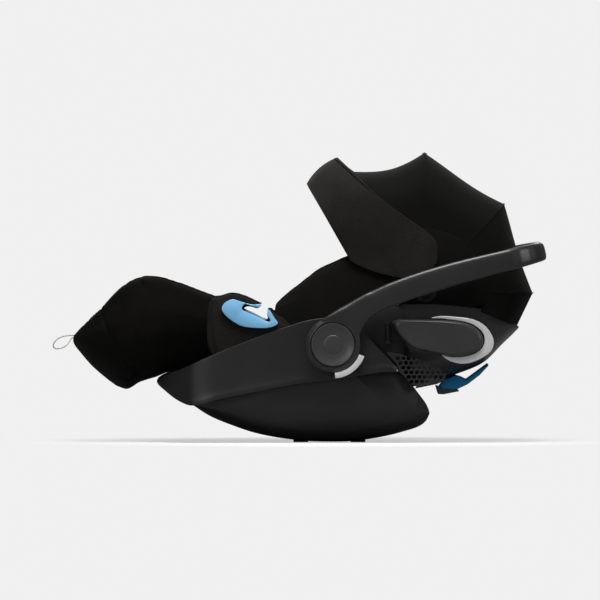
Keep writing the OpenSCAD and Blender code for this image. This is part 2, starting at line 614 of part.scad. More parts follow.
// Lugs on the shell's floor, each with a bore for the recline lever's ends.
lug_t = 8;
module lever_lugs() {
  color("#262626") on_hub() for (side = [-1, 1]) difference() {
    plate(recline_lever_w / 2 - 5, lug_t, side) polygon(concat(
      [for (x = back_xs) if (x > 290 && x < 315) [x, at(back_low, x) + back_wall + 0.5]],
      [[313, recline_lever_c.y + 6], [295, recline_lever_c.y + 6]]));
    rod(recline_lever_c, 3 + run, recline_lever_w / 2 - 6, lug_t + 2, side);
  }
}

// ---- Handle ----
grip_c = handle_reach - grip_t / 2;
tip_a = 24;                         // angle of the grip over the hub axis
tip_slope = 13.5;                   // slope of the arms' last stretch
grip_p = grip_c * [cos(tip_a), sin(tip_a)];
arm_y = ring_y + hub_t - 3 - arm_t / 2;
arm_line = [[70, 74], [107, 89.5], [158, 107.5], [215, 124.8], [262, 137],
  grip_p - bend_r * dir(tip_slope)];
arm_slope = [30, 24, 18.5, 16, 14.5, tip_slope];
arm_half_h = [20.5, 20.7, 21, 20.3, 19.8, 19];
arm_start = [for (k = [1, -1]) arm_line[0] + k * arm_half_h[0] * [-sin(arm_slope[0]), cos(arm_slope[0])]];
// Section of the frame: a rounded bar at c, with its height along up and its width along out.
function bar_ring(c, up, out, hh, hw, k = 3.2, n = 20) = [for (i = [0:n - 1]) let (a = -360 * i / n)
  c + up * hh * sign(sin(a)) * pow(abs(sin(a)), 2 / k) + out * hw * sign(cos(a)) * pow(abs(cos(a)), 2 / k)];
function arm_ring(f, side) = let (p = along(arm_line, f), s = along(arm_slope, f))
  bar_ring([p.x, side * arm_y, p.y], [-sin(s), 0, cos(s)], [0, -side, 0], along(arm_half_h, f), arm_t / 2);
function bend_ring(b, side) = let (d = dir(tip_slope), d3 = [d.x, 0, d.y], up = [-d.y, 0, d.x],
    c0 = grip_p - bend_r * d, f = pow(sin(b), 2),
    c = [c0.x, side * (arm_y - bend_r), c0.y] + bend_r * (d3 * sin(b) + [0, side * cos(b), 0]))
  bar_ring(c, up, -sin(b) * d3 - [0, side * cos(b), 0], grip_h / 2 + (arm_half_h[5] - grip_h / 2) * (1 - f),
    (arm_t + (grip_t - arm_t) * f) / 2);
module handle_frame() {
  bends = [for (i = [1:7]) 90 * i / 7];
  color("#232323") on_hub() loft(concat(
    [for (i = [0:12]) arm_ring(i / 12, 1)], [for (b = bends) bend_ring(b, 1)],
    [for (b = flip(bends)) bend_ring(b, -1)], [for (i = [12:-1:0]) arm_ring(i / 12, -1)]));
}
module hub_ring(side) {
  color("#262626") on_hub() difference() {
    union() {
      rod([0, 0], hub_r, ring_y, hub_t, side);
      plate(arm_y - arm_t / 2, arm_t, side) polygon([[0, 0], [-22, 42], [1, 58.5], [32, 76], arm_start[0],
        arm_start[1], [64, 46], [54, 33], [48, 18]]);
    }
    rod([0, 0], pin_r + run, ring_y - 1, hub_t + 2, side);
    rod([0, 0], button_r + 0.5, ring_y + hub_t - recess_d, recess_d + 1, side);
  }
}
button_t = recess_d - button_travel - 0.5 + 1.5;
button_y = ring_y + hub_t + 1.5 - button_t;
module hub_button(side) {
  color("#1f1f1f") on_hub() {
    rod([0, 0], button_r, button_y, button_t, side);
    rod([0, 0], cap_r, button_y + button_t, 1.5, side);
  }
}
lever_a = [-86, -20];
lever_r = hub_r + 0.8;
lever_y = base_half_w + lip_out + eps;
module release_lever(side) {
  color(silver) on_hub() {
    plate(ring_y + 6, hub_t - 6, side) sector(lever_r, lever_r + lever_w, lever_a[0], lever_a[1]);
    plate(lever_y, ring_y + 6 - lever_y, side)
      sector(lever_r, lever_r + lever_w, lever_a[0] + 8, lever_a[1] - 8);
    plate(lever_y, base_half_w + flange_t - eps - lever_y, side)
      sector(flange_r + run, lever_r + 1, lever_a[0] + 16, lever_a[1] - 16);
  }
}
module sector(r0, r1, a0, a1) {
  polygon(concat([for (i = [0:12]) r0 * dir(a0 + (a1 - a0) * i / 12)],
    [for (i = [12:-1:0]) r1 * dir(a0 + (a1 - a0) * i / 12)]));
}
function dir(a) = [cos(a), sin(a)];

// ---- Leg rest ----
leg_widths = [[-453, leg_half_w - 88], [-440, leg_half_w - 60], [-418, leg_half_w - 34],
  [-390, leg_half_w - 16], [-350, leg_half_w - 4],
  [-300, leg_half_w], [-190, leg_half_w]];
leg_xs = [-453, -447, -440, -429, -418, -405, -390, -376, -360, -352, -344, -330, -311, -290, -263,
  -230, -190];
module leg_rest() {
  color(cloth) on_hub() trough(leg_xs, leg_widths, leg_top, leg_low, leg_wall, 2.8, 14);
}
// Elastic loop at the leg rest's tip, from its rim and back to it.
loop_points = [[-453.05, 0, 186], [-458, 0, 186], [-466, -4, 185.5], [-474, -9, 184], [-481, -13, 181],
  [-487, -14, 176], [-490, -14, 171], [-490, -14, 166], [-486, -13, 163], [-480, -12, 163],
  [-473, -10, 165], [-467, -7, 169], [-462, -3, 175], [-458, 1, 181.5], [-453.05, 1, 181.5]];
loop_r = 1.1;
module pull_loop() {
  n = len(loop_points);
  color("#b9b7b2") loft([for (i = [0:n - 1]) let (a = loop_points[max(i - 1, 0)],
      b = loop_points[min(i + 1, n - 1)], t = (b - a) / norm(b - a), u = cross(t, [0, 1, 0]),
      v = u / norm(u), w = cross(t, v))
    [for (k = [0:7]) loop_points[i] + loop_r * (cos(45 * k) * v + sin(45 * k) * w)]]);
}

base_shell();
rocker_shell();
rocker_pads();
hub_flange(1);  // hub_flange_left
hub_flange(-1);  // hub_flange_right
recline_bushes();
seat_liner();
seat_cushion();
leg_rail();
side_cover(1);  // side_cover_left
side_cover(-1);  // side_cover_right
lap_guide(1);  // lap_guide_left
lap_guide(-1);  // lap_guide_right
crotch_strap();
buckle();
buckle_button();
hip_straps();
shoulder_straps();
adjuster_housing();
adjuster_button();
shell_screws();
backrest_shell();
recline_arms();
vents();
backrest_liner();
wing(1);  // wing_left
wing(-1);  // wing_right
rear_guide();
guide_foot();
canopy_brackets();
canopy_rear();
canopy_rib_3();
gussets();
pod(1);  // pod_left
pod(-1);  // pod_right
pod_hinges();
pod_leaf(1);  // pod_leaf_left
pod_leaf(-1);  // pod_leaf_right
pod_trim(1);  // pod_trim_left
pod_trim(-1);  // pod_trim_right
headrest();
headrest_lever();
recline_lever();
lever_lugs();
canopy_rib_2();
canopy_rib_1();
canopy_visor();
cloth_rear();
cloth_middle();
cloth_front();
handle_frame();
hub_ring(1);  // hub_ring_left
hub_ring(-1);  // hub_ring_right
hub_button(1);  // hub_button_left
hub_button(-1);  // hub_button_right
release_lever(1);  // release_lever_left
release_lever(-1);  // release_lever_right
leg_rest();
pull_loop();
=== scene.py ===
# Infant car seat lying flat: the dressed model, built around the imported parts.
# Metres, in the part's own frame: +X is the head end, +Y the left side, +Z up, floor at 0.
import bpy
import json
import math
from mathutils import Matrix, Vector

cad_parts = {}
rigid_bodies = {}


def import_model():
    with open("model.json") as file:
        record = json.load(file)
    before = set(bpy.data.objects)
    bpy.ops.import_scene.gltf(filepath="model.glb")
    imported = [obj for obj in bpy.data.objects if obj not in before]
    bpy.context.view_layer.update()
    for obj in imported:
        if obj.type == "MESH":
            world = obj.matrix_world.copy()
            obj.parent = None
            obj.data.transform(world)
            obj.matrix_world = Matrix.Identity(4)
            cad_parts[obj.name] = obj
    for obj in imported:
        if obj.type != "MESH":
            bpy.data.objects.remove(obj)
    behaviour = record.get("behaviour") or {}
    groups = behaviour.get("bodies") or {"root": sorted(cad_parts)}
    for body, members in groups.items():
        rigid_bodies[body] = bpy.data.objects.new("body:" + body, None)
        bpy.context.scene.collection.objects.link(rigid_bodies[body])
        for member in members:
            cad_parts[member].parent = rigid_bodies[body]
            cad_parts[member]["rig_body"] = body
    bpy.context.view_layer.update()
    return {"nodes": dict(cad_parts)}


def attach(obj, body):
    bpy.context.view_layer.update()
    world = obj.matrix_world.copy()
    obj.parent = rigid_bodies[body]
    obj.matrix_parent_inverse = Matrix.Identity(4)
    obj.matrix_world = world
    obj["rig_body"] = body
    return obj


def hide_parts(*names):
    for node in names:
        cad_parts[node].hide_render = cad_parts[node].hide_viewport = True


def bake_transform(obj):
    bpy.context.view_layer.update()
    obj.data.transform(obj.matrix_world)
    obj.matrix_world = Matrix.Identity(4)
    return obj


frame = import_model()
bpy.context.scene.view_settings.view_transform = "Standard"


# ---- Studio ----
# A long lens looks level across the seat, as a product is shot from far away.
# One broad softbox hangs over the seat, with three weaker ones around it and a pale floor.
def colour(code):
    """An sRGB hex value as linear red, green, blue and alpha."""
    channels = [int(code[i:i + 2], 16) / 255 for i in (1, 3, 5)]
    return [c / 12.92 if c <= 0.04045 else ((c + 0.055) / 1.055) ** 2.4 for c in channels] + [1]


def add(tree, kind, inputs=None, **settings):
    """Adds a node. Each input is a value, or (node, output) for a link."""
    made = tree.nodes.new("ShaderNode" + kind)
    for key, value in settings.items():
        setattr(made, key, value)
    for key, value in (inputs or {}).items():
        if isinstance(value, tuple) and isinstance(value[0], bpy.types.Node):
            tree.links.new(value[0].outputs[value[1]], made.inputs[key])
        else:
            made.inputs[key].default_value = value
    return made


def new_object(name, data):
    """A new object in the scene that holds this data."""
    made = bpy.data.objects.new(name, data)
    bpy.context.scene.collection.objects.link(made)
    return made


view_centre = Vector((-0.0575, -0.095, 0.249))
view_width = 1.05
camera_distance = 30.0
camera_height = math.radians(0.6)
lens_data = bpy.data.cameras.new("camera")
lens_data.lens = lens_data.sensor_width * camera_distance / view_width
lens_data.clip_end = 90
camera = new_object("camera", lens_data)
to_camera = Vector((0, -math.cos(camera_height), math.sin(camera_height)))
camera.location = view_centre + camera_distance * to_camera
camera.rotation_euler = (math.pi / 2 - camera_height, 0, 0)
bpy.context.scene.camera = camera

backdrop = colour("#F0F0F0")
world = bpy.data.worlds.new("studio")
bpy.context.scene.world = world
world.use_nodes = True
world.node_tree.nodes.clear()
rays = add(world.node_tree, "LightPath")
seen = add(world.node_tree, "Background", {"Color": backdrop, "Strength": 1.0})
fill = add(world.node_tree, "Background", {"Color": colour("#F2F4F8"), "Strength": 0.14})
both = add(world.node_tree, "MixShader", {0: (rays, "Is Camera Ray"), 1: (fill, 0), 2: (seen, 0)})
add(world.node_tree, "OutputWorld", {"Surface": (both, 0)})

# Each softbox's name, place, side in metres and power in watts. All point at the seat's middle.
softboxes = [("overhead", (0.0, -0.75, 1.7), 1.0, 40), ("front", (-1.3, -2.3, 0.9), 1.0, 9),
             ("head_side", (1.9, -0.9, 0.9), 0.7, 7), ("behind", (0.2, 2.2, 1.3), 1.4, 12)]
seat_middle = Vector((0, 0, 0.2))
for name, place, side, power in softboxes:
    lamp = bpy.data.lights.new(name, "AREA")
    lamp.size = side
    lamp.energy = power
    softbox = new_object(name, lamp)
    softbox.location = place
    softbox.rotation_euler = (seat_middle - Vector(place)).to_track_quat("-Z", "Y").to_euler()

bpy.ops.object.select_all(action="DESELECT")
bpy.ops.mesh.primitive_circle_add(vertices=96, radius=3, fill_type="NGON")
floor = bpy.context.active_object
floor.name = "floor"
paper = bpy.data.materials.new("studio_paper")
paper.use_nodes = True
tree = paper.node_tree
tree.nodes.clear()
# The camera sees the paper fade into the backdrop, and everything else sees a grey floor.
rays = add(tree, "LightPath")
place = add(tree, "TexCoord")
far = add(tree, "VectorMath", {0: (place, "Object")}, operation="LENGTH")
fade = add(tree, "MapRange", {"Value": (far, "Value"), "From Min": 0.25, "From Max": 0.6,
                              "To Min": 0.6, "To Max": 1.0}, interpolation_type="SMOOTHSTEP")
seen_share = add(tree, "Math", {0: (fade, 0), 1: (rays, "Is Camera Ray")}, operation="MULTIPLY")
bounce = add(tree, "MixRGB", {"Fac": (rays, "Is Camera Ray"), "Color1": colour("#8E8E8E"),
                              "Color2": colour("#FFFFFF")})
matte = add(tree, "BsdfDiffuse", {"Color": (bounce, 0)})
even = add(tree, "Emission", {"Color": backdrop, "Strength": 1.0})
mixed = add(tree, "MixShader", {0: (seen_share, 0), 1: (matte, 0), 2: (even, 0)})
add(tree, "OutputMaterial", {"Surface": (mixed, 0)})
floor.data.materials.append(paper)


# ---- Pull loop ----
# Braided elastic cord 2.2 mm thick, whose two ends are sewn into the leg rest's tip.
# It is the tab that pulls the leg rest's cover on.
def finish_material(name, **values):
    """A new material and its main shader, set to these socket values."""
    made = bpy.data.materials.new(name)
    made.use_nodes = True
    shader = made.node_tree.nodes["Principled BSDF"]
    for key, value in values.items():
        shader.inputs[key.replace("_", " ")].default_value = value
    return made, made.node_tree, shader


def along(points, share):
    """A point of the smooth line through these points."""
    spot = min(share * (len(points) - 1), len(points) - 1.0001)
    i, f = int(spot), spot % 1
    b, c = points[i], points[i + 1]
    a = points[i - 1] if i else 2 * b - c
    d = points[i + 2] if i + 2 < len(points) else 2 * c - b
    return b + f * ((c - a) + f * ((2 * a - 5 * b + 4 * c - d) + f * (3 * (b - c) + d - a))) / 2


loop_points = [Vector(p) / 1000 for p in (
    (-453.05, 0, 186), (-458, 0, 186), (-466, -4, 185.5), (-474, -9, 184), (-481, -13, 181),
    (-487, -14, 176), (-490, -14, 171), (-490, -14, 166), (-486, -13, 163), (-480, -12, 163),
    (-473, -10, 165), (-467, -7, 169), (-462, -3, 175), (-458, 1, 181.5), (-453.05, 1, 181.5))]
loop_steps = 56
loop_route = [along(loop_points, i / loop_steps) for i in range(loop_steps + 1)]
cord_diameter = 0.0022
loop_curve = bpy.data.curves.new("pull_loop_cord", "CURVE")
loop_curve.dimensions = "3D"
loop_curve.bevel_depth = cord_diameter / 2
loop_curve.bevel_resolution = 3
line = loop_curve.splines.new("POLY")
line.points.add(len(loop_route) - 1)
for point, spot in zip(line.points, loop_route):
    point.co = (*spot, 1)
pull_cord = new_object("pull_cord", loop_curve)
# Braided polyester over rubber: pale grey and matt, with a fine slanting plait.
elastic, tree, shader = finish_material("braided_elastic", Roughness=0.75, Sheen_Weight=0.3)
place = add(tree, "TexCoord")
plait = add(tree, "TexWave", {"Vector": (place, "Object"), "Scale": 210.0, "Distortion": 1.5},
            bands_direction="DIAGONAL")
tint = add(tree, "MixRGB", {"Fac": (plait, "Fac"), "Color1": colour("#8F8D88"),
                            "Color2": colour("#C9C7C1")})
tree.links.new(tint.outputs[0], shader.inputs["Base Color"])
dent = add(tree, "Bump", {"Height": (plait, "Fac"), "Strength": 0.4, "Distance": 0.0003})
tree.links.new(dent.outputs[0], shader.inputs["Normal"])
loop_curve.materials.append(elastic)
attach(pull_cord, "leg_rest")
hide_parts("pull_loop")


# ---- Base shell and rocker ----
# Two injection-moulded polypropylene tubs. The rocker's rim sits under the base shell's lip
# and is screwed to it from inside; both have a fine spark-eroded grain.
def alone(piece):
    """Selects this piece and nothing else."""
    if bpy.context.object and bpy.context.object.mode != "OBJECT":
        bpy.ops.object.mode_set(mode="OBJECT")
    bpy.ops.object.select_all(action="DESELECT")
    piece.select_set(True)
    bpy.context.view_layer.objects.active = piece


def apply(piece, kind, **settings):
    """Gives a piece a modifier with these settings and applies it."""
    alone(piece)
    modifier = piece.modifiers.new(kind, kind)
    for key, value in settings.items():
        setattr(modifier, key, value)
    bpy.ops.object.modifier_apply(modifier=modifier.name)


def copy_of(name, *nodes):
    """A free copy of CAD nodes, with their loose triangles merged into quads."""
    copies = []
    for node in nodes:
        copies.append(new_object(name, frame["nodes"][node].data.copy()))
    piece = copies[0]
    alone(piece)
    for other in copies[1:]:
        other.select_set(True)
    if len(copies) > 1:
        bpy.ops.object.join()
    piece.data.materials.clear()
    bpy.ops.object.mode_set(mode="EDIT")
    bpy.ops.mesh.select_all(action="SELECT")
    bpy.ops.mesh.remove_doubles(threshold=1e-5)
    bpy.ops.mesh.tris_convert_to_quads(face_threshold=math.radians(60),
                                       shape_threshold=math.radians(70))
    bpy.ops.object.mode_set(mode="OBJECT")
    return piece


def smooth(piece, angle):
    """Shades a piece smooth, apart from edges sharper than this angle in degrees."""
    alone(piece)
    bpy.ops.object.shade_smooth_by_angle(angle=math.radians(angle))


def settle(piece, finish, slot, *nodes):
    """Gives a piece its finish, and puts it on the body of the nodes it stands for."""
    piece.data.materials.clear()
    piece.data.materials.append(finish)
    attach(piece, frame["nodes"][nodes[0]]["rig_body"])
    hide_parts(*nodes)
    return piece


def moulded(name, finish, slot, *nodes, edge=0.0012, levels=0):
    """A moulding: a copy of its nodes with rounded edges, and smooth between its ribs."""
    piece = copy_of(name, *nodes)
    apply(piece, "BEVEL", width=edge, segments=2, limit_method="ANGLE",
          angle_limit=math.radians(35), loop_slide=False)
    if levels:
        apply(piece, "SUBSURF", levels=levels, render_levels=levels)
    smooth(piece, 40)
    return settle(piece, finish, slot, *nodes)


def grained_plastic(name, tone, pale, grain=0.0009, depth=0.00012, roughness=0.46, gloss=0.5):
    """Injection-moulded polypropylene or ABS with a spark-eroded grain.

    Its colour drifts a little over the hand's width and fine scuffs lighten it.
    The real grain is about 0.2 mm; it is drawn at the given size so that it shows.
    """
    made, tree, shader = finish_material(name, Specular_IOR_Level=gloss)
    place = add(tree, "TexCoord")
    drift = add(tree, "TexNoise", {"Vector": (place, "Object"), "Scale": 11.0, "Detail": 3.0})
    scuffs = add(tree, "TexNoise", {"Vector": (place, "Object"), "Scale": 160.0, "Detail": 5.0,
                                    "Roughness": 0.7})
    tint = add(tree, "MixRGB", {"Fac": (drift, "Fac"), "Color1": colour(tone), "Color2": colour(pale)})
    worn = add(tree, "MapRange", {"Value": (scuffs, "Fac"), "From Min": 0.6, "From Max": 0.85,
                                  "To Min": 0.0, "To Max": 0.2})
    shade = add(tree, "MixRGB", {"Fac": (worn, 0), "Color1": (tint, 0), "Color2": colour("#4A4A4A")})
    tree.links.new(shade.outputs[0], shader.inputs["Base Color"])
    rub = add(tree, "MapRange", {"Value": (drift, "Fac"), "To Min": roughness - 0.06,
                                 "To Max": roughness + 0.08})
    tree.links.new(rub.outputs[0], shader.inputs["Roughness"])
    cells = add(tree, "TexVoronoi", {"Vector": (place, "Object"), "Scale": 1 / grain})
    dents = add(tree, "Bump", {"Height": (cells, "Distance"), "Strength": 0.5, "Distance": depth})
    tree.links.new(dents.outputs[0], shader.inputs["Normal"])
    return made


shell_grain = grained_plastic("grained_polypropylene", "#101010", "#161616", roughness=0.38)
base_tub = moulded("base_tub", shell_grain, "shell_plastic", "base_shell", edge=0.0012, levels=2)
# The base shell's nose hangs a little fuller than its ribs alone would make it.
nose_middle, nose_half, nose_top, nose_drop = -0.255, 0.052, 0.115, 0.0055
for vertex in base_tub.data.vertices:
    along_nose = 1 - ((vertex.co.x - nose_middle) / nose_half) ** 2
    if along_nose > 0 and vertex.co.z < nose_top:
        vertex.co.z -= nose_drop * along_nose * min(1.0, (nose_top - vertex.co.z) / 0.03)
rocker_tub = moulded("rocker_tub", shell_grain, "shell_plastic", "rocker_shell", edge=0.0014, levels=2)
# A sharp crease runs down each side, and the face beyond it sinks in towards the tail.
crease_top, crease_end = Vector((0.040, 0, 0.117)), Vector((0.129, 0, 0.030))
beyond = Vector((crease_top.z - crease_end.z, 0, crease_end.x - crease_top.x)).normalized()
alone(rocker_tub)
bpy.ops.object.mode_set(mode="EDIT")
bpy.ops.mesh.select_all(action="SELECT")
bpy.ops.mesh.bisect(plane_co=crease_top, plane_no=beyond)
bpy.ops.mesh.mark_sharp()
bpy.ops.object.mode_set(mode="OBJECT")
belly_drop, off_floor = 0.0028, 0.0006
sink_slope, sink_most = 0.22, 0.012
for vertex in rocker_tub.data.vertices:
    past = (vertex.co - crease_top).dot(beyond)
    low_down = max(0.0, min(1.0, (0.09 - vertex.co.z) / 0.05))
    vertex.co.z = max(min(vertex.co.z, off_floor), vertex.co.z - belly_drop * low_down)
    if past > 0:
        sink = math.copysign(min(past * sink_slope, sink_most), vertex.co.y)
        vertex.co.y -= sink * min(1.0, abs(vertex.co.y) / 0.1)
smooth(rocker_tub, 40)

# Rubber pads: moulded EPDM, matt, slightly dusty.
pad_rubber = grained_plastic("moulded_rubber", "#121212", "#1B1B1B", grain=0.0006, roughness=0.75,
                             gloss=0.3)
moulded("floor_pads", pad_rubber, "rubber", "rocker_pads", edge=0.0004)


# ---- Screws ----
# Zinc-plated pan-head screws, cold-headed from steel wire. They go through the base shell's
# floor and are hidden under the seat.
def metal(name, tone, roughness, bare=1.0, pale="#D0D0D0"):
    """Bare or plated metal with a faint brushed or tumbled variation in its roughness."""
    made, tree, shader = finish_material(name, Metallic=bare)
    place = add(tree, "TexCoord")
    cloudy = add(tree, "TexNoise", {"Vector": (place, "Object"), "Scale": 400.0, "Detail": 2.0})
    tint = add(tree, "MixRGB", {"Fac": (cloudy, "Fac"), "Color1": colour(tone), "Color2": colour(pale)})
    tree.links.new(tint.outputs[0], shader.inputs["Base Color"])
    rub = add(tree, "MapRange", {"Value": (cloudy, "Fac"), "To Min": roughness - 0.05,
                                 "To Max": roughness + 0.05})
    tree.links.new(rub.outputs[0], shader.inputs["Roughness"])
    return made


zinc = metal("zinc_plate", "#8E8E8E", 0.35)
moulded("pan_head_screws", zinc, "steel", "shell_screws", edge=0.0006)


# ---- Hub flanges and recline bushes ----
# Glass-filled nylon discs on the base shell's sides carry the handle; the bushes inside them
# carry the backrest.
nylon = grained_plastic("glass_filled_nylon", "#111111", "#191919", roughness=0.46)
for side in ("left", "right"):
    moulded("handle_flange_" + side, nylon, "shell_plastic", "hub_flange_" + side, edge=0.001)
moulded("backrest_bushes", nylon, "dark_plastic", "recline_bushes", edge=0.0008)


# ---- Seat ----
# A moulded bead-foam liner lies on the base shell's floor, with a sewn cushion on it.
# Padded covers close the seat's sides in front of the hubs.
def swell(piece, voxel, cap, shrink=0.0015, relax=4):
    """Remeshes and smooths a padded piece, and lets a cloth simulation puff it.

    The piece starts smaller by shrink, and no point moves more than cap.
    """
    apply(piece, "REMESH", mode="VOXEL", voxel_size=voxel)
    apply(piece, "DISPLACE", strength=-shrink, mid_level=0.0)
    apply(piece, "SMOOTH", factor=0.5, iterations=relax)
    before = [v.co.copy() for v in piece.data.vertices]
    alone(piece)
    cloth = piece.modifiers.new("puff", "CLOTH")
    cloth.settings.use_pressure = True
    cloth.settings.uniform_pressure_force = 4.0
    cloth.settings.effector_weights.gravity = 0
    last_step = 20
    cloth.point_cache.frame_end = last_step
    for step in range(1, last_step + 1):
        bpy.context.scene.frame_set(step)
    bpy.ops.object.modifier_apply(modifier=cloth.name)
    bpy.context.scene.frame_set(1)
    for vertex, start in zip(piece.data.vertices, before):
        moved = vertex.co - start
        if moved.length > cap:
            vertex.co = start + moved * cap / moved.length
    apply(piece, "SUBSURF", levels=1, render_levels=1)
    smooth(piece, 180)


def sew(piece, line, depth=0.0018, reach=0.006, low=0.0):
    """Sinks a sewn seam into a piece's two sides along a line in side view, as [x, z] points in mm.

    The seam leaves out what lies less than low from the middle plane.
    """
    route = [Vector((x, z)) / 1000 for x, z in line]
    normals = [v.normal.copy() for v in piece.data.vertices]
    for vertex, normal in zip(piece.data.vertices, normals):
        if abs(vertex.co.y) < low:
            continue
        spot = Vector((vertex.co.x, vertex.co.z))
        nearest = 1.0
        for a, b in zip(route, route[1:]):
            share = max(0.0, min(1.0, (spot - a).dot(b - a) / (b - a).length_squared))
            nearest = min(nearest, (spot - a - share * (b - a)).length)
        if nearest < reach:
            vertex.co -= normal * depth * (1 - (nearest / reach) ** 2) ** 2


def woven_cloth(name, tone, pale, thread=0.0016, sheen=0.1, roughness=0.9, streak=0.5):
    """Woven polyester cover cloth: warp and weft threads that shade each other, and soft sheen.

    The real threads are 0.4 mm apart; the weave is drawn coarser so that it shows. Darker and
    paler threads mix into a slight melange, and the nap clouds over a hand's width.
    """
    made, tree, shader = finish_material(name, Sheen_Weight=sheen, Sheen_Roughness=0.4,
                                         Specular_IOR_Level=0.12, Sheen_Tint=colour("#8C8A86"))
    place = add(tree, "TexCoord")
    cloudy = add(tree, "TexNoise", {"Vector": (place, "Object"), "Scale": 14.0, "Detail": 4.0})
    thick = add(tree, "TexNoise", {"Vector": (place, "Object"), "Scale": 0.6 / thread, "Detail": 2.0})
    warp = add(tree, "TexWave", {"Vector": (place, "Object"), "Scale": 0.5 / thread, "Distortion": 0.6,
                                 "Detail": 1.0}, bands_direction="X")
    weft = add(tree, "TexWave", {"Vector": (place, "Object"), "Scale": 0.5 / thread, "Distortion": 0.6,
                                 "Detail": 1.0}, bands_direction="Z")
    weave = add(tree, "Math", {0: (warp, "Fac"), 1: (weft, "Fac")}, operation="MAXIMUM")
    mix = add(tree, "Math", {0: (thick, "Fac"), 1: (cloudy, "Fac")}, operation="MULTIPLY")
    melange = add(tree, "MapRange", {"Value": (mix, 0), "From Min": 0.12, "From Max": 0.45,
                                     "To Min": 0.0, "To Max": streak + 0.5})
    tint = add(tree, "MixRGB", {"Fac": (melange, 0), "Color1": colour(tone), "Color2": colour(pale)})
    threads = add(tree, "MapRange", {"Value": (weave, 0), "To Min": 0.72, "To Max": 1.05})
    shade = add(tree, "VectorMath", {0: (tint, 0), "Scale": (threads, 0)}, operation="SCALE")
    tree.links.new(shade.outputs[0], shader.inputs["Base Color"])
    shader.inputs["Roughness"].default_value = roughness
    dents = add(tree, "Bump", {"Height": (weave, 0), "Strength": 0.5, "Distance": 0.0004})
    tree.links.new(dents.outputs[0], shader.inputs["Normal"])
    return made


def padding(name, finish, slot, *nodes, voxel=0.005, cap=0.005, seams=(), low=0.0,
            shrink=0.0015, relax=4):
    """A padded, sewn piece that stands for its nodes."""
    piece = copy_of(name, *nodes)
    swell(piece, voxel, cap, shrink, relax)
    for seam in seams:
        sew(piece, seam, low=low)
    settle(piece, finish, slot, *nodes)
    return piece


bead_foam = grained_plastic("bead_foam", "#262626", "#333333", grain=0.004, depth=0.0006, roughness=0.8,
                            gloss=0.25)
moulded("foam_tray", bead_foam, "foam", "seat_liner", edge=0.002)
moulded("slide_rail", nylon, "dark_plastic", "leg_rail", edge=0.001)

black_weave = woven_cloth("black_polyester_weave", "#090807", "#110F0D")
cover_weave = woven_cloth("charcoal_melange_weave", "#141211", "#201E1C", streak=0.7)
padding("seat_pad", black_weave, "black_cloth", "seat_cushion", cap=0.006,
        seams=[[(-96, 150), (20, 150)]])
for side in ("left", "right"):
    padding("side_pad_" + side, cover_weave, "charcoal_cloth", "side_cover_" + side, voxel=0.0045,
            cap=0.003, low=0.172, shrink=0.001,
            seams=[[(-214, 246), (-215, 211), (-211, 176), (-206, 160)],
                   [(-103, 228), (-90, 214), (-72, 202)]])


# ---- Lap belt guides ----
# Light blue nylon hooks screwed to the side covers; the car's lap belt drops into the notch.
sky_nylon = grained_plastic("light_blue_nylon", "#6CAAD6", "#86BDE2", grain=0.0009, roughness=0.38)
for side in ("left", "right"):
    moulded("lap_hook_" + side, sky_nylon, "light_blue", "lap_guide_" + side, edge=0.0022)


# ---- Harness ----
# Polyester webbing and a moulded buckle with a red release button.
webbing = woven_cloth("harness_webbing", "#101010", "#1E1E1E", thread=0.0012, roughness=0.6)
moulded("crotch_webbing", webbing, "black_cloth", "crotch_strap", edge=0.0004)
moulded("hip_webbing", webbing, "black_cloth", "hip_straps", edge=0.0004)
moulded("shoulder_webbing", webbing, "black_cloth", "shoulder_straps", edge=0.0004)
satin_abs = grained_plastic("satin_abs", "#303030", "#3A3A3A", roughness=0.3)
moulded("harness_buckle", satin_abs, "dark_plastic", "buckle", edge=0.002)
red_abs = grained_plastic("red_abs", "#A31C12", "#B8271B", roughness=0.3)
moulded("buckle_release", red_abs, "red", "buckle_button", edge=0.0012)
moulded("adjuster_case", satin_abs, "dark_plastic", "adjuster_housing", edge=0.0015)
moulded("adjuster_key", satin_abs, "dark_plastic", "adjuster_button", edge=0.0008)


# ---- Backrest shell ----
# A glossier moulding that turns on the bushes, with nylon arms outside it and a perforated
# panel over its vents.
# Black nylon, painted darker than the other nylon. This is painted shade, so that the recline brackets,
# pod hinges and canopy pivot brackets sit dark as in shadow.
nylon_painted_shade = grained_plastic("black_nylon_painted_shade", "#070707", "#0C0C0C", roughness=0.55, gloss=0.3)
satin_shell = grained_plastic("satin_polypropylene", "#1E1E1E", "#272727", roughness=0.32)
moulded("backrest_tub", satin_shell, "gloss_shell", "backrest_shell", edge=0.0012, levels=2)
recline_brackets = moulded("recline_brackets", nylon_painted_shade, "dark_plastic", "recline_arms", edge=0.0008)
# Their top corners reach up behind the handle.
corner_height, corner_lift = 0.22, 0.007
for vertex in recline_brackets.data.vertices:
    vertex.co.z += corner_lift * (vertex.co.z > corner_height)
moulded("vent_grilles", nylon, "dark_plastic", "vents", edge=0.0006)
moulded("release_lugs", nylon, "dark_plastic", "lever_lugs", edge=0.001)
moulded("recline_release", satin_abs, "dark_plastic", "recline_lever", edge=0.0012)
padding("backrest_lining", black_weave, "black_cloth", "backrest_liner", voxel=0.005, cap=0.003)
for side in ("left", "right"):
    padding("side_wing_" + side, black_weave, "black_cloth", "wing_" + side, voxel=0.0045, cap=0.003,
            shrink=0.001)

# A strip of stretch cloth, sewn under the seat pad and the lining, keeps the gap between them
# closed while the backrest moves.
join_middle, join_run, join_width = Vector((0.078, 0, 0.112)), 0.066, 0.29
cloth_thickness = 0.0012
bpy.ops.mesh.primitive_grid_add(x_subdivisions=10, y_subdivisions=12, size=1)
seat_join = bpy.context.active_object
seat_join.name = "seat_join"
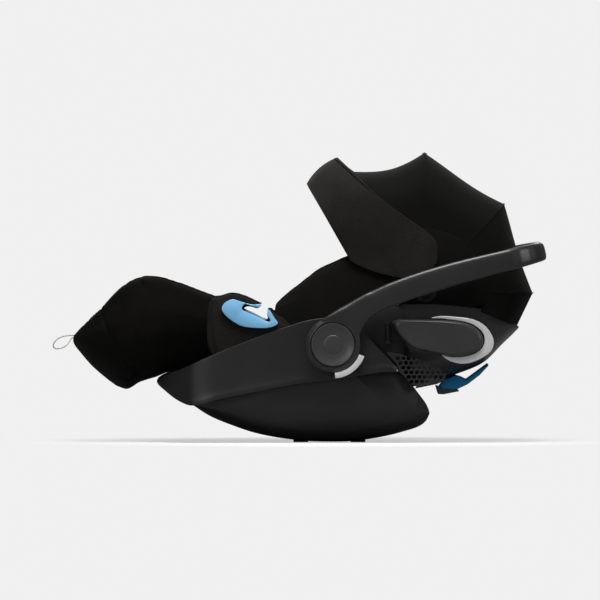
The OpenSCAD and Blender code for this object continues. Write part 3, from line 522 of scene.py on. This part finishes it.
# Its sides curl up by 60 mm beside the seat pad.
for vertex in seat_join.data.vertices:
    rise = 0.06 * max(0.0, abs(vertex.co.y) - 0.34) / 0.16
    vertex.co = join_middle + Vector((vertex.co.x * join_run, vertex.co.y * join_width, rise))
apply(seat_join, "SOLIDIFY", thickness=cloth_thickness, offset=0.0)
smooth(seat_join, 60)
seat_join.data.materials.append(black_weave)
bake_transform(seat_join)


# ---- Rear belt guide ----
# Dark blue nylon hook under the head end, on a grey-brown block, for the car's shoulder belt.
deep_nylon = grained_plastic("deep_blue_nylon", "#045A8A", "#0E84B8", roughness=0.34, gloss=0.3)
moulded("shoulder_belt_hook", deep_nylon, "deep_blue", "rear_guide", edge=0.002)
brown_nylon = grained_plastic("grey_brown_nylon", "#35312E", "#45403B", roughness=0.5)
moulded("hook_block", brown_nylon, "dark_plastic", "guide_foot", edge=0.0012)


# ---- Headrest ----
# A padded shell that slides up the backrest, locked by the steel bar behind its top.
padding("head_pad", black_weave, "black_cloth", "headrest", voxel=0.0045, cap=0.004)
# The bar is black-oxide steel, oiled.
black_oxide = metal("black_oxide_steel", "#26272A", 0.5, pale="#3A3B3E")
moulded("head_bar", black_oxide, "steel", "headrest_lever", edge=0.001)


# ---- Side-impact pods ----
# Blow-moulded bumpers that swing out on butt hinges, each with a silver C-shaped trim.
pod_plastic = grained_plastic("soft_touch_abs", "#2A2A2A", "#343434", roughness=0.34)
silver_paint = metal("satin_silver_paint", "#DADADA", 0.3, bare=0.25)
for side in ("left", "right"):
    moulded("bumper_" + side, pod_plastic, "gloss_shell", "pod_" + side, edge=0.002, levels=2)
    moulded("hinge_leaf_" + side, nylon_painted_shade, "dark_plastic", "pod_leaf_" + side, edge=0.0006)
    moulded("silver_c_" + side, silver_paint, "silver", "pod_trim_" + side, edge=0.0014)
moulded("bumper_hinges", nylon_painted_shade, "dark_plastic", "pod_hinges", edge=0.0006)


# ---- Canopy ----
# Three bows turn on the brackets' pivots under a taut woven cover, sewn to each bow. The
# cover's sides end on stiff gussets, and a stiffened visor overlaps its front.
# The canopy's cloth is the seat's black weave painted darker. This is painted shade that holds back the
# overhead softbox's light on its upturned panels, the bows, gussets and seams included.
canopy_cloth_painted_shade = woven_cloth("black_canopy_cloth_painted_shade", "#040403", "#080706", sheen=0.05)
moulded("pivot_brackets", nylon_painted_shade, "dark_plastic", "canopy_brackets", edge=0.0008)
for name, node in (("front_bow", "canopy_rib_1"), ("middle_bow", "canopy_rib_2"),
                   ("rear_bow", "canopy_rib_3")):
    moulded(name, canopy_cloth_painted_shade, "dark_plastic", node, edge=0.0008)
side_gussets = moulded("side_gussets", canopy_cloth_painted_shade, "black_cloth", "gussets", edge=0.0009)
# The gussets tuck in behind the backrest shell's top edge.
shell_edge = [Vector((x, z)) for x, z in ((0.12, 0.2435), (0.189, 0.2435), (0.251, 0.235))]
for vertex in side_gussets.data.vertices:
    for a, b in zip(shell_edge, shell_edge[1:]):
        if a.x < vertex.co.x <= b.x:
            edge_height = a.y + (b.y - a.y) * (vertex.co.x - a.x) / (b.x - a.x)
            vertex.co.z = max(vertex.co.z, edge_height)


def from_points(name, spots, faces):
    """A mesh object of these points and faces, with its normals outwards."""
    made = bpy.data.meshes.new(name)
    made.from_pydata(spots, [], faces)
    piece = new_object(name, made)
    alone(piece)
    bpy.ops.object.mode_set(mode="EDIT")
    bpy.ops.mesh.select_all(action="SELECT")
    bpy.ops.mesh.normals_make_consistent(inside=False)
    bpy.ops.object.mode_set(mode="OBJECT")
    return piece


# A hem along each gusset's foot turns in to the shell's rim.
hem_line = ((0.102, 0.2425), (0.189, 0.2425), (0.262, 0.2335))
hem_section = ((0.1570, 0), (0.1655, 0), (0.1655, 0.0014), (0.1570, 0.0014))
for side in (-1, 1):
    hem_spots = [(x, side * y, z + lift) for x, z in hem_line for y, lift in hem_section]
    hem_faces = [(4 * i + j, 4 * i + (j + 1) % 4, 4 * i + 4 + (j + 1) % 4, 4 * i + 4 + j)
                 for i in range(2) for j in range(4)] + [(0, 1, 2, 3), (8, 9, 10, 11)]
    hem = from_points("gusset_hem", hem_spots, hem_faces)
    hem.data.materials.append(canopy_cloth_painted_shade)
    side_gussets.select_set(True)
    bpy.context.view_layer.objects.active = side_gussets
    bpy.ops.object.join()
visor_peak = moulded("visor_peak", cover_weave, "charcoal_cloth", "canopy_visor", edge=0.0012, levels=2)
# Its side edge is pulled straight, and its crown is lifted and domed between its two edges.
edge_top, edge_foot = Vector((-0.045, 0, 0.451)), Vector((0.031, 0, 0.317))
crown_run = Vector((0.053, 0, 0.048))
edge_lift, crown_lift, crown_height = 0.003, 0.026, 0.40
crown_up = Vector((-0.67, 0, 0.74))
for vertex in visor_peak.data.vertices:
    spot = vertex.co
    if edge_foot.z < spot.z < edge_top.z:
        share = (edge_top.z - spot.z) / (edge_top.z - edge_foot.z)
        spot.x = max(spot.x, edge_top.x + (edge_foot.x - edge_top.x) * share)
    f = max(0.0, min(1.0, (spot - edge_top).dot(crown_run) / crown_run.length_squared))
    on_crown = max(0.0, min(1.0, (spot.z - crown_height) / 0.045))
    vertex.co = spot + crown_up * (edge_lift + crown_lift * f * (1 - f)) * on_crown

hub_height = 0.172
bow_pivot = Vector((0.161, hub_height + 0.095))
# The bows' angles about the pivot in degrees, and how far they reach from it.
front_angle, middle_angle, rear_angle = 90, 47, -2
front_reach, middle_reach, rear_reach = 0.2385, 0.204, 0.189
# The cover's front hem, under the visor.
hem_angle, hem_reach = 121, 0.240
# How far from the pivot the cover's foot is and the bend above it, half its width and the
# visor's, and how far it dips between two bows.
cover_foot = 0.104
lowest_bend, bend_start, bend_share = 0.124, 0.026, 0.55
cover_half = 0.1644
visor_half = 0.1682
cover_dip = 0.021
cover_columns = 64
seam_radius = 0.0013


def cover_point(angle, share, far):
    """A point of the canopy's cover, from its left foot over the crown to its right foot.

    The cover's sides are straight up to the bend, where the bows begin to curve over.
    """
    turn = math.pi * share
    out, up = math.cos(turn), math.sin(turn)
    bend = max(lowest_bend, bend_start + bend_share * (far - bend_start))
    reach = bend + (far - bend) * up ** (2 / 3) if 0 < share < 1 else cover_foot
    y = cover_half * math.copysign(abs(out) ** (2 / 3), out)
    a = math.radians(angle)
    return Vector((bow_pivot.x + reach * math.cos(a), y, bow_pivot.y + reach * math.sin(a)))


def visor_edge(share):
    """A point on the inside of the visor's rear edge, for the same share."""
    turn = math.pi * share
    out, up = math.cos(turn), math.sin(turn) ** (2 / 3)
    y = visor_half * math.copysign(abs(out) ** (2 / 3), out)
    return Vector((0.103 - 0.100 * up, y, 0.407 + 0.0905 * up))


def cover_panel(name, angles, reaches, nodes, dip=cover_dip, rows=14, riser=0):
    """One sewn panel of the cover between two bows, hollow between them as taut cloth is.

    Where riser is given, that many more rows lead on from its last row to the visor's rear edge.
    """
    spots, faces = [], []
    columns = cover_columns
    for i in range(rows + 1):
        f = i / rows
        far = reaches[0] + (reaches[1] - reaches[0]) * f - dip * 4 * f * (1 - f)
        spots += [cover_point(angles[0] + (angles[1] - angles[0]) * f, j / columns, far)
                  for j in range(columns + 1)]
    hem = spots[-columns - 1:]
    for i in range(1, riser + 1):
        spots += [hem[j].lerp(visor_edge(j / columns), i / riser) for j in range(columns + 1)]
    rows += riser
    for i in range(rows):
        for j in range(columns):
            a = i * (columns + 1) + j
            faces.append((a, a + 1, a + columns + 2, a + columns + 1))
    panel = from_points(name, spots, faces)
    apply(panel, "SOLIDIFY", thickness=cloth_thickness, offset=0.0)
    smooth(panel, 60)
    panel.data.materials.append(canopy_cloth_painted_shade)
    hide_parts(*nodes)
    return panel


def piping(name, angle, far, body):
    """The rolled seam that covers a bow's outer edge."""
    made = bpy.data.curves.new(name, "CURVE")
    made.dimensions = "3D"
    made.bevel_depth = seam_radius
    made.bevel_resolution = 2
    line = made.splines.new("POLY")
    spots = [cover_point(angle, j / cover_columns, far) for j in range(cover_columns + 1)]
    line.points.add(len(spots) - 1)
    for point, spot in zip(line.points, spots):
        point.co = (*spot, 1)
    seam = new_object(name, made)
    made.materials.append(canopy_cloth_painted_shade)
    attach(seam, body)
    return seam


def between(panel):
    """Bakes a panel's placement into its mesh."""
    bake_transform(panel)


front_panel = cover_panel("cover_front", (front_angle, hem_angle), (front_reach, hem_reach),
                          ["cloth_front"], riser=4)
between(front_panel)
middle_panel = cover_panel("cover_middle", (middle_angle, front_angle), (middle_reach, front_reach),
                           ["cloth_middle"])
between(middle_panel)
rear_panel = cover_panel("cover_rear", (rear_angle, middle_angle), (rear_reach, middle_reach),
                         ["cloth_rear"])
between(rear_panel)
# Below the rear bow the cover runs down to the backrest shell's rim.
rear_apron = cover_panel("rear_apron", (-21.5, rear_angle), (0.1737, rear_reach),
                         ["canopy_rear"], dip=0.003, rows=8)
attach(rear_apron, "backrest")
# The seams lie just outside the cover.
piping("front_seam", front_angle, 0.2392, "front_rib")
piping("middle_seam", middle_angle, 0.2046, "middle_rib")
piping("rear_seam", rear_angle, 0.1896, "backrest")


# ---- Handle ----
# One hollow moulding bent round the head end, on two hub rings; round buttons in the hubs
# unlock it, and silver levers under them free the seat from its car base.
handle_plastic = grained_plastic("handle_polypropylene", "#1B1B1B", "#242424", roughness=0.32)
carry_handle = copy_of("carry_handle", "handle_frame", "hub_ring_left", "hub_ring_right")
apply(carry_handle, "REMESH", mode="VOXEL", voxel_size=0.0018)
apply(carry_handle, "SMOOTH", factor=0.5, iterations=10)
# The ring's and the arm's outer faces in y, and the ring's and the arm's neck as distances
# from the hub axis. Angles are in degrees, from the head end upwards.
hub_face = 0.215
arm_face = 0.212
ring_start, ring_end, chamfer_start, chamfer_slope = 0.037, 0.056, 0.0385, 0.55
sweep_start, sweep_end = 0.046, 0.096
neck_middle = 0.092
arm_angle = 55
neck = carry_handle.vertex_groups.new(name="neck")
for vertex in carry_handle.data.vertices:
    across, up = vertex.co.x, vertex.co.z - hub_height
    from_axis = math.hypot(across, up)
    if ring_start < from_axis < ring_end:
        # The ring's outer face falls away to its rim, except where the arm leaves it.
        to_arm = abs(math.degrees(math.atan2(up, across)) - arm_angle)
        bare = max(0.0, min(1.0, (to_arm - 40) / 40))
        highest = hub_face - (from_axis - chamfer_start) * chamfer_slope * bare
        if abs(vertex.co.y) > highest:
            vertex.co.y = math.copysign(highest, vertex.co.y)
    neck_share = max(0.0, min(1.0, 1.6 - abs(from_axis - neck_middle) / 0.03))
    neck.add([vertex.index], neck_share, "REPLACE")
    on_face = abs(vertex.co.y) > arm_face - 0.0015 and up > 0.02 and across > -0.02
    if sweep_start < from_axis < sweep_end and on_face:
        # The arm's face rises to the ring's in one sweep.
        f = (from_axis - sweep_start) / (sweep_end - sweep_start)
        swept = arm_face + (hub_face - arm_face) * (1 - f * f * (3 - 2 * f))
        vertex.co.y = math.copysign(max(abs(vertex.co.y), swept), vertex.co.y)
apply(carry_handle, "SMOOTH", factor=0.6, iterations=40, vertex_group="neck")
smooth(carry_handle, 180)
settle(carry_handle, handle_plastic, "shell_plastic", "handle_frame", "hub_ring_left", "hub_ring_right")


def turned(name, profile, side):
    """A round piece on the hub axis, turned from [radius, height] points given outwards in y."""
    turns = 96
    spots, faces = [], []
    for radius, out in profile:
        spots += [(radius * math.cos(math.tau * j / turns), side * out,
                   hub_height + radius * math.sin(math.tau * j / turns)) for j in range(turns)]
    for i in range(len(profile) - 1):
        for j in range(turns):
            a, b = i * turns + j, i * turns + (j + 1) % turns
            faces.append((a, b, b + turns, a + turns))
    faces += [tuple(range(turns)), tuple(range(len(spots) - turns, len(spots)))]
    piece = from_points(name, spots, faces)
    smooth(piece, 40)
    return piece


# The button's face, as [radius, height]: a rolled rim, a shallow dish and a ring groove.
button_foot = hub_face - 0.0105
button_dish = [(0.0380, 0.0075), (0.0380, 0.0100), (0.0374, 0.0110), (0.0362, 0.0113), (0.0350, 0.0110),
               (0.0300, 0.0092), (0.0240, 0.0080), (0.0178, 0.0076), (0.0172, 0.0070), (0.0166, 0.0076),
               (0.0150, 0.0080), (0.0080, 0.0084), (0.0001, 0.0085)]
for side, sign in (("left", 1), ("right", -1)):
    cap = turned("unlock_button_" + side, [(r, button_foot + h) for r, h in button_dish], sign)
    settle(cap, satin_abs, "gloss_shell", "hub_button_" + side)
    moulded("base_release_" + side, silver_paint, "silver", "release_lever_" + side, edge=0.0012)


# ---- Leg rest ----
# A padded boot of black cloth over a thin tray, which slides in as the backrest reclines.
leg_boot = padding("leg_boot", black_weave, "black_cloth", "leg_rest", voxel=0.004, cap=0.004,
                   shrink=0.0003, relax=2,
                   seams=[[(-405, 234), (-397, 211), (-384, 179), (-365, 150), (-341, 122)],
                          [(-330, 120), (-306, 130), (-290, 133), (-230, 136)]])
# The boot is stuffed plumper where it stands clear of the base shell.
stuffing, shell_nose = 0.004, -0.29
outwards = [vertex.normal.copy() for vertex in leg_boot.data.vertices]
for vertex, normal in zip(leg_boot.data.vertices, outwards):
    vertex.co += normal * stuffing * max(0.0, min(1.0, (shell_nose - vertex.co.x) / 0.04))
